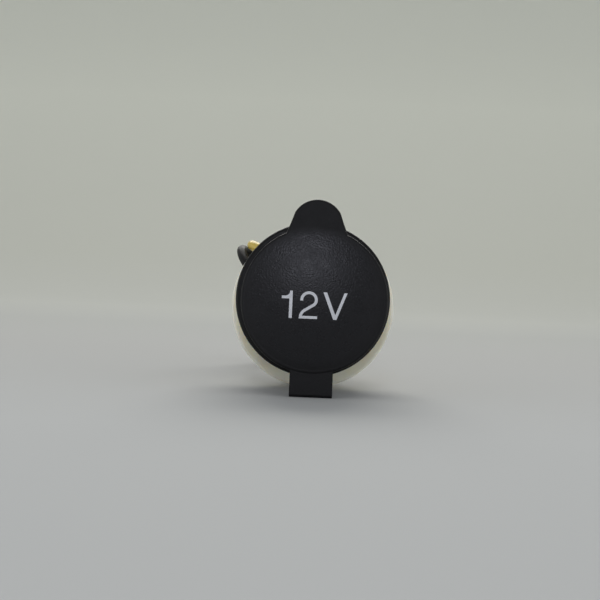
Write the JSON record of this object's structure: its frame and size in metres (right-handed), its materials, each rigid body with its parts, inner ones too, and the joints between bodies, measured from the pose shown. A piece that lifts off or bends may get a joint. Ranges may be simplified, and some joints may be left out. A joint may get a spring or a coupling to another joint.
{
  "type": "car 12v power socket",
  "caption": "Round panel-mount car power socket: flip lid on a strap hinge, threaded housing, ring nut, metal barrel and fly leads.",
  "frame": {"origin": "on the socket's axis, in the plane of the collar's back face, which rests on the front of the panel", "axes": "-Y out of the socket towards the user, +Y behind the panel, +Z towards the lid's thumb tab, X to the right seen from the front"},
  "size_m": [0.0426, 0.105, 0.0464],
  "materials": {
    "moulded_black": "fine grain, soft sheen",
    "housing_black": "smooth moulded, satin",
    "natural_nylon": "translucent, undyed",
    "plated_steel": "nickel plated, drawn",
    "brass": "bright, stamped",
    "fibre_brown": "pressed fibre board",
    "cup_white": "moulded, off white",
    "lead_yellow_pvc": "soft, slightly glossy",
    "lead_black_pvc": "soft, slightly glossy",
    "seal_orange": "silicone"
  },
  "bodies": {
    "socket": {"strap_collar": "moulded_black", "bezel_housing": "housing_black", "ring_nut": "natural_nylon", "barrel": "plated_steel", "base_insulator": "cup_white", "contact_washer": "plated_steel", "centre_contact": "brass", "rear_insulator": "fibre_brown", "positive_blade": "brass", "ground_blade": "brass", "ground_rivet": "plated_steel", "positive_receptacle": "brass", "ground_receptacle": "brass", "positive_boot": "lead_yellow_pvc", "ground_boot": "lead_black_pvc", "lead_yellow": "lead_yellow_pvc", "lead_black": "lead_black_pvc", "plug_housing": "housing_black", "plug_latch": "housing_black", "plug_seals": "seal_orange", "plug_contacts": "brass"},
    "lid": {"cap": "moulded_black"}
  },
  "joints": [
    {"name": "lid_hinge", "type": "hinge", "parent": "socket", "child": "lid", "pos_m": [0, -0.0036, -0.0227], "axis": [1, 0, 0], "range_deg": [0, 165]}
  ]
}
